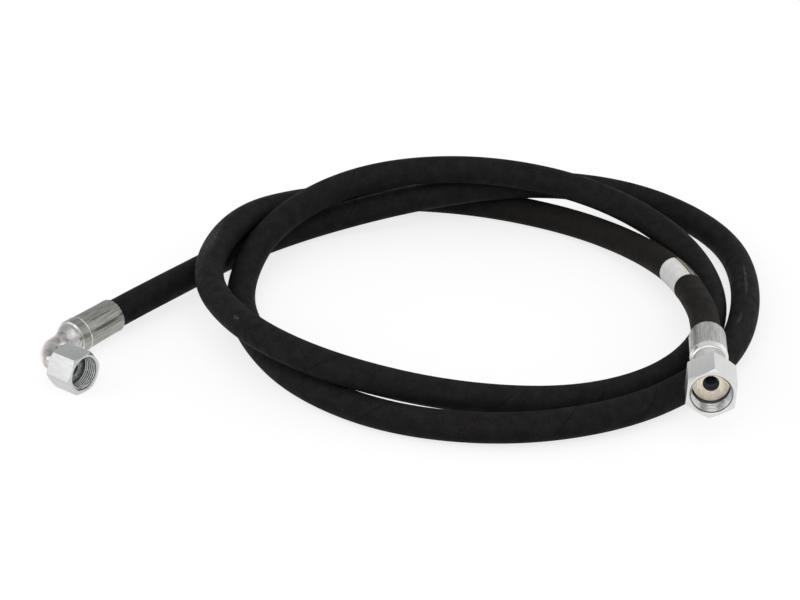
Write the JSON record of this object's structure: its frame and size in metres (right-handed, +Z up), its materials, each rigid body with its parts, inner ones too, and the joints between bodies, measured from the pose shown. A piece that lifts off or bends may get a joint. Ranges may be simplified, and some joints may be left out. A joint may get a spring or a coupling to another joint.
{
  "type": "hydraulic hose assembly",
  "caption": "Coiled two-wire rubber hydraulic hose with crimped ferrules, a straight flat-face swivel nut at one end and a right-angle elbow swivel nut at the other.",
  "frame": {"origin": "on the surface that the assembly lies on, below the centre of the box around the two end fittings without the hose", "axes": "+Z up from that surface; +X from the elbow fitting towards the straight fitting, along the longer side of the loops; +Y from the open front towards the back of the loops"},
  "size_m": [0.5571, 0.4002, 0.067],
  "materials": {
    "black_rubber": "matte",
    "cover_rubber": "matte, lightly marked by its wrap",
    "braid_wire": "brass-plated wire",
    "zinc_steel": "bright zinc plate",
    "ferrule_steel": "zinc plate rubbed by the crimping jaws",
    "white_film": "satin",
    "clear_film": "clear, slightly yellowed"
  },
  "bodies": {
    "hose_and_nipples": {"inner_tube": "black_rubber", "inner_wire_braid": "braid_wire", "braid_insulation": "black_rubber", "outer_wire_braid": "braid_wire", "outer_cover": "cover_rubber", "marker_label": "white_film", "label_film": "clear_film", "straight_nipple": "zinc_steel", "straight_ferrule": "ferrule_steel", "elbow_hose_tail": "zinc_steel", "elbow_ferrule": "ferrule_steel", "elbow_bent_tube": "zinc_steel", "elbow_face_sleeve": "zinc_steel"},
    "straight_nut": {"straight_swivel_nut": "zinc_steel"},
    "elbow_nut": {"elbow_swivel_nut": "zinc_steel"}
  },
  "joints": [
    {"name": "straight_nut_swivel", "type": "hinge", "parent": "hose_and_nipples", "child": "straight_nut", "pos_m": [0.23429, -0.0772, 0.0467], "axis": [-0.0871, -0.996, 0.0175], "continuous": true},
    {"name": "elbow_nut_swivel", "type": "hinge", "parent": "hose_and_nipples", "child": "elbow_nut", "pos_m": [-0.22999, -0.00035, 0.015], "axis": [0.7986, -0.6018, 0], "continuous": true}
  ]
}
